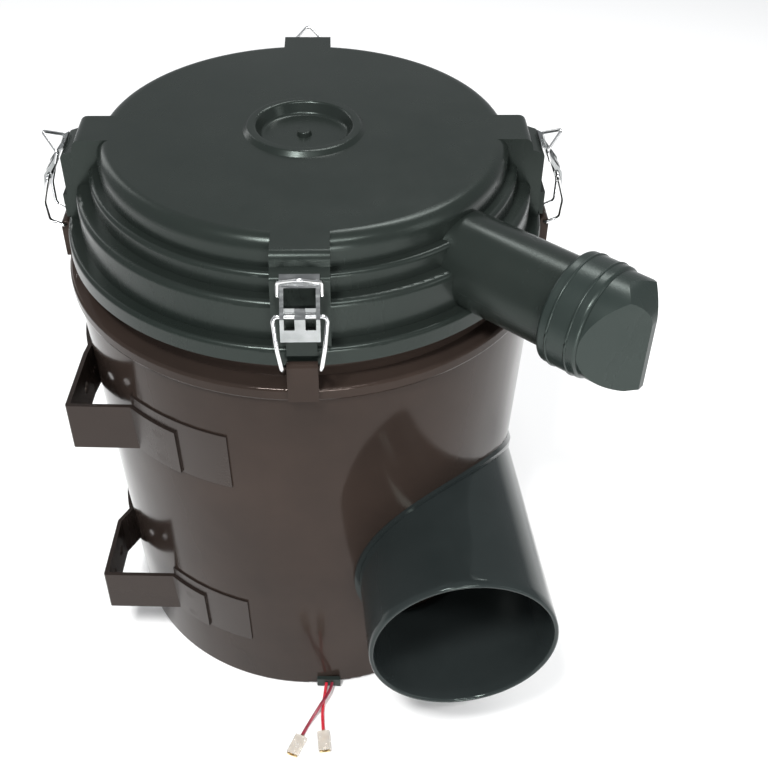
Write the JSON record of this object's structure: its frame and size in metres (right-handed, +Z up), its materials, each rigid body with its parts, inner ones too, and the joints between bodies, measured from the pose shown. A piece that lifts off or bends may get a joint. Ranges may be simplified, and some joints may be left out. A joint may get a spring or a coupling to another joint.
{
  "type": "dust collector",
  "caption": "Upright canister dust collector: tapered shell, tangential inlet, stepped latched cover, rubber dust valve, strap mounts and short power leads.",
  "frame": {"origin": "centre of the canister's round base, on the plane that it stands on", "axes": "+Z up along the canister's axis; -Y towards the front latch, the inlet mouth and the leads; -X towards the flat feet of the mounting straps"},
  "size_m": [0.3811, 0.3913, 0.407],
  "materials": {
    "canister_plastic": "glossy moulded plastic",
    "cover_plastic": "satin moulded plastic, faintly grained",
    "valve_rubber": "smooth black rubber",
    "zinc": "bright zinc plated",
    "strap_paint": "semi-gloss black paint",
    "motor_steel": "plain steel",
    "bearing_steel": "ground steel",
    "magnet": "ferrite",
    "copper_armature": "laminations with enamelled windings",
    "fan_plastic": "moulded nylon",
    "housing_plastic": "moulded plastic",
    "filter_paper": "pleated filter paper",
    "filter_cap": "moulded polyurethane",
    "filter_steel": "perforated galvanised sheet",
    "red_insulation": "red PVC insulation",
    "dark_insulation": "dark red PVC insulation",
    "clear_sleeve": "clear soft sleeve",
    "terminal_brass": "stamped brass"
  },
  "bodies": {
    "canister": {"canister_body": "canister_plastic", "inlet_port": "canister_plastic", "inlet_saddle_ring": "canister_plastic", "upper_bracket": "strap_paint", "lower_bracket": "strap_paint", "bracket_rivets": "strap_paint", "fan_housing": "housing_plastic", "outlet_guard": "zinc", "motor_can": "motor_steel", "motor_bearing_lower": "bearing_steel", "motor_bearing_upper": "bearing_steel", "motor_magnets": "magnet", "motor_spider": "housing_plastic", "element_seal": "filter_cap", "element_media": "filter_paper", "element_screen": "filter_steel", "element_core": "filter_steel", "element_end_cap": "filter_cap", "safety_seal": "filter_cap", "safety_media": "filter_paper", "safety_end_cap": "filter_cap", "inlet_baffle": "housing_plastic", "wire_grommet": "valve_rubber", "red_lead": "red_insulation", "red_terminal": "terminal_brass", "red_sleeve": "clear_sleeve", "dark_lead": "dark_insulation", "dark_terminal": "terminal_brass", "dark_sleeve": "clear_sleeve"},
    "cover_body": {"cover": "cover_plastic", "cover_gasket": "valve_rubber", "dust_tube": "cover_plastic", "dust_valve": "valve_rubber"},
    "fan": {"motor_shaft": "bearing_steel", "motor_armature": "copper_armature", "fan_rotor": "fan_plastic"},
    "bail_front": {"latch_bail_front": "zinc"},
    "lever_front": {"latch_lever_front": "zinc", "latch_pull_front": "zinc"},
    "bail_right": {"latch_bail_right": "zinc"},
    "lever_right": {"latch_lever_right": "zinc", "latch_pull_right": "zinc"},
    "bail_back": {"latch_bail_back": "zinc"},
    "lever_back": {"latch_lever_back": "zinc", "latch_pull_back": "zinc"},
    "bail_left": {"latch_bail_left": "zinc"},
    "lever_left": {"latch_lever_left": "zinc", "latch_pull_left": "zinc"}
  },
  "joints": [
    {"name": "lid_lift", "type": "slide", "parent": "canister", "child": "cover_body", "axis": [0, 0, 1], "range_m": [0, 0.1]},
    {"name": "fan_spin", "type": "hinge", "parent": "canister", "child": "fan", "pos_m": [0, 0, 0.04], "axis": [0, 0, 1], "continuous": true},
    {"name": "bail_swing_front", "type": "hinge", "parent": "canister", "child": "bail_front", "pos_m": [0.00801, -0.1638, 0.337], "axis": [0.9988, 0.0489, 0], "range_deg": [0, 115]},
    {"name": "lever_front_turn", "type": "hinge", "parent": "bail_front", "child": "lever_front", "pos_m": [0.00821, -0.1678, 0.376], "axis": [0.9988, 0.0489, 0], "range_deg": [0, 25]},
    {"name": "bail_swing_right", "type": "hinge", "parent": "canister", "child": "bail_right", "pos_m": [0.1638, 0.00801, 0.337], "axis": [-0.0489, 0.9988, 0], "range_deg": [0, 115]},
    {"name": "lever_right_turn", "type": "hinge", "parent": "bail_right", "child": "lever_right", "pos_m": [0.1678, 0.00821, 0.376], "axis": [-0.0489, 0.9988, 0], "range_deg": [0, 25]},
    {"name": "bail_swing_back", "type": "hinge", "parent": "canister", "child": "bail_back", "pos_m": [-0.00801, 0.1638, 0.337], "axis": [-0.9988, -0.0489, 0], "range_deg": [0, 115]},
    {"name": "lever_back_turn", "type": "hinge", "parent": "bail_back", "child": "lever_back", "pos_m": [-0.00821, 0.1678, 0.376], "axis": [-0.9988, -0.0489, 0], "range_deg": [0, 25]},
    {"name": "bail_swing_left", "type": "hinge", "parent": "canister", "child": "bail_left", "pos_m": [-0.1638, -0.00801, 0.337], "axis": [0.0489, -0.9988, 0], "range_deg": [0, 115]},
    {"name": "lever_left_turn", "type": "hinge", "parent": "bail_left", "child": "lever_left", "pos_m": [-0.1678, -0.00821, 0.376], "axis": [0.0489, -0.9988, 0], "range_deg": [0, 25]}
  ],
  "couplings": [
    {"joint": "bail_swing_front", "follows": "lid_lift", "rad_per_m": 20},
    {"joint": "bail_swing_right", "follows": "lid_lift", "rad_per_m": 20},
    {"joint": "bail_swing_back", "follows": "lid_lift", "rad_per_m": 20},
    {"joint": "bail_swing_left", "follows": "lid_lift", "rad_per_m": 20}
  ]
}
